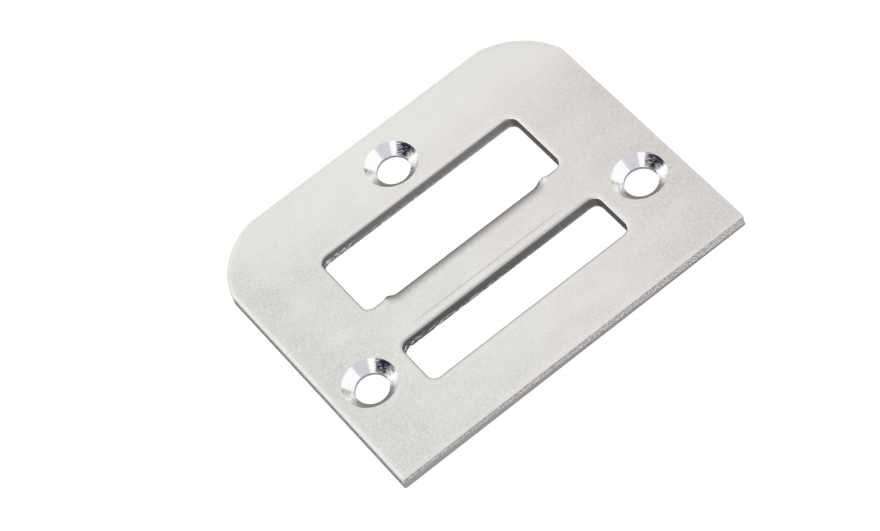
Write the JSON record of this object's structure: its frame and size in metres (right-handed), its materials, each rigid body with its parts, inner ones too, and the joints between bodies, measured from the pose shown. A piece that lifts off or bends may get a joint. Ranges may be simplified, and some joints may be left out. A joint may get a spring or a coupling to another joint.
{
  "type": "door strike plate",
  "caption": "Flat stainless strike plate, two rounded corners, two long slots with a rolled nose on the bar between them, and countersunk screw holes.",
  "frame": {"origin": "middle of the flat back face, halfway along and halfway across the plate", "axes": "+X along the plate, +Y across it towards the two rounded corners, +Z out of the countersunk face"},
  "size_m": [0.06, 0.05, 0.002],
  "materials": {
    "stainless_sheet": "fine matt stainless sheet, bright turned countersinks, darker sheared edges"
  },
  "bodies": {
    "root": {"strike_plate": "stainless_sheet"}
  },
  "joints": []
}
